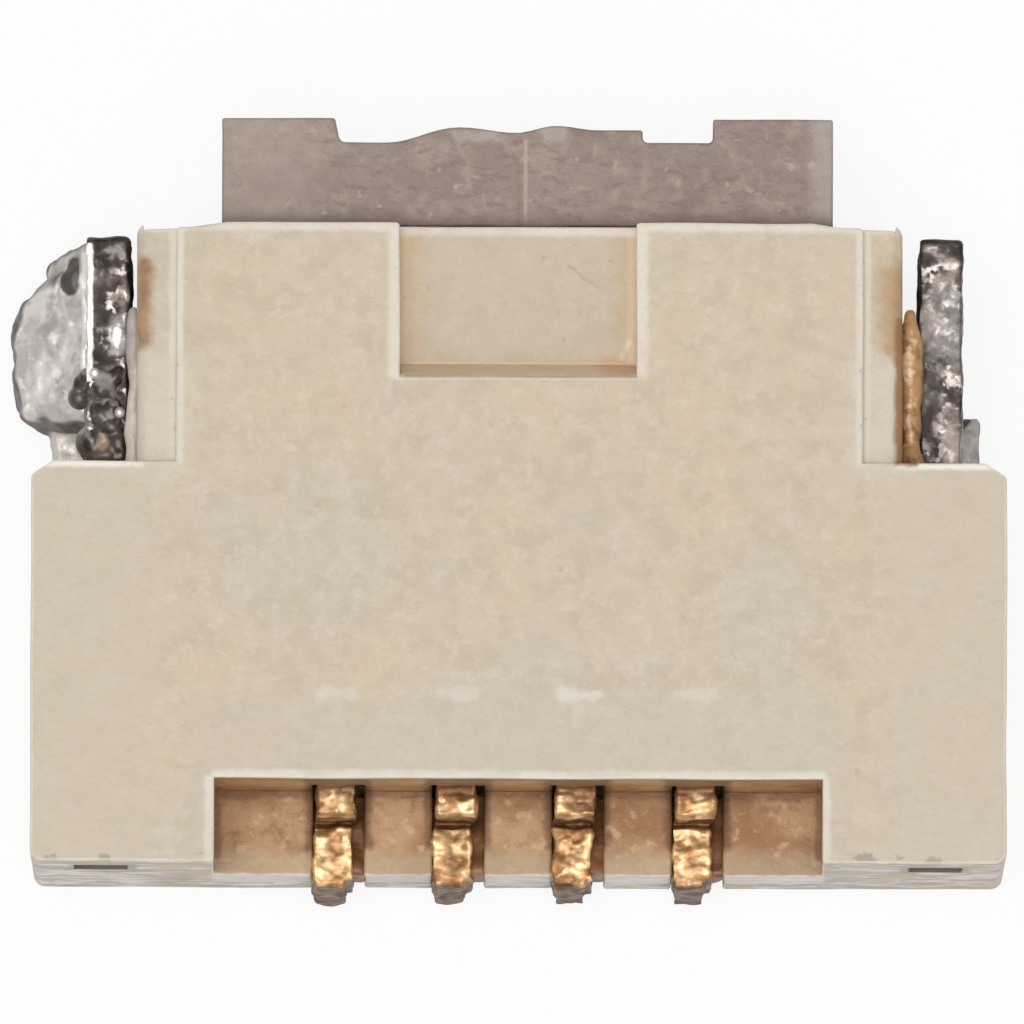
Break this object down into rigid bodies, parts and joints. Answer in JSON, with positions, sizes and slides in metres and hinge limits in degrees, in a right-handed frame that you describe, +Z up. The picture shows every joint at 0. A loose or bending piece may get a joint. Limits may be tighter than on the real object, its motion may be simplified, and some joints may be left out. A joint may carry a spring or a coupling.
{
  "type": "fpc connector",
  "caption": "Right-angle surface-mount connector for a flat flexible cable, with a slide lock, gold contacts, fitting nails and solder left from its board.",
  "frame": {"origin": "centre of the housing's footprint, on the board plane", "axes": "+Y out of the cable slot, the way the slider opens; +X to the right seen from above with the tails towards the viewer; +Z up from the board"},
  "size_m": [0.0083, 0.0064, 0.0025],
  "materials": {
    "housing_plastic": "matte, cream, with brown flux stains",
    "slider_plastic": "matte, grey-brown, slightly worn",
    "gold_plate": "gold-plated stamping with rough sheared edges",
    "nail_metal": "dark tinned sheet with rough solder specks",
    "solder": "dull wrinkled solder"
  },
  "bodies": {
    "connector": {"housing": "housing_plastic", "contact_1": "gold_plate", "contact_2": "gold_plate", "contact_3": "gold_plate", "contact_4": "gold_plate", "fitting_nail_left": "nail_metal", "fitting_nail_right": "nail_metal", "solder_left": "solder", "solder_right": "solder"},
    "lock": {"slider": "slider_plastic"}
  },
  "joints": [
    {"name": "lock_slide", "type": "slide", "parent": "connector", "child": "lock", "axis": [0, 1, 0], "range_m": [0, 0.0012]}
  ]
}
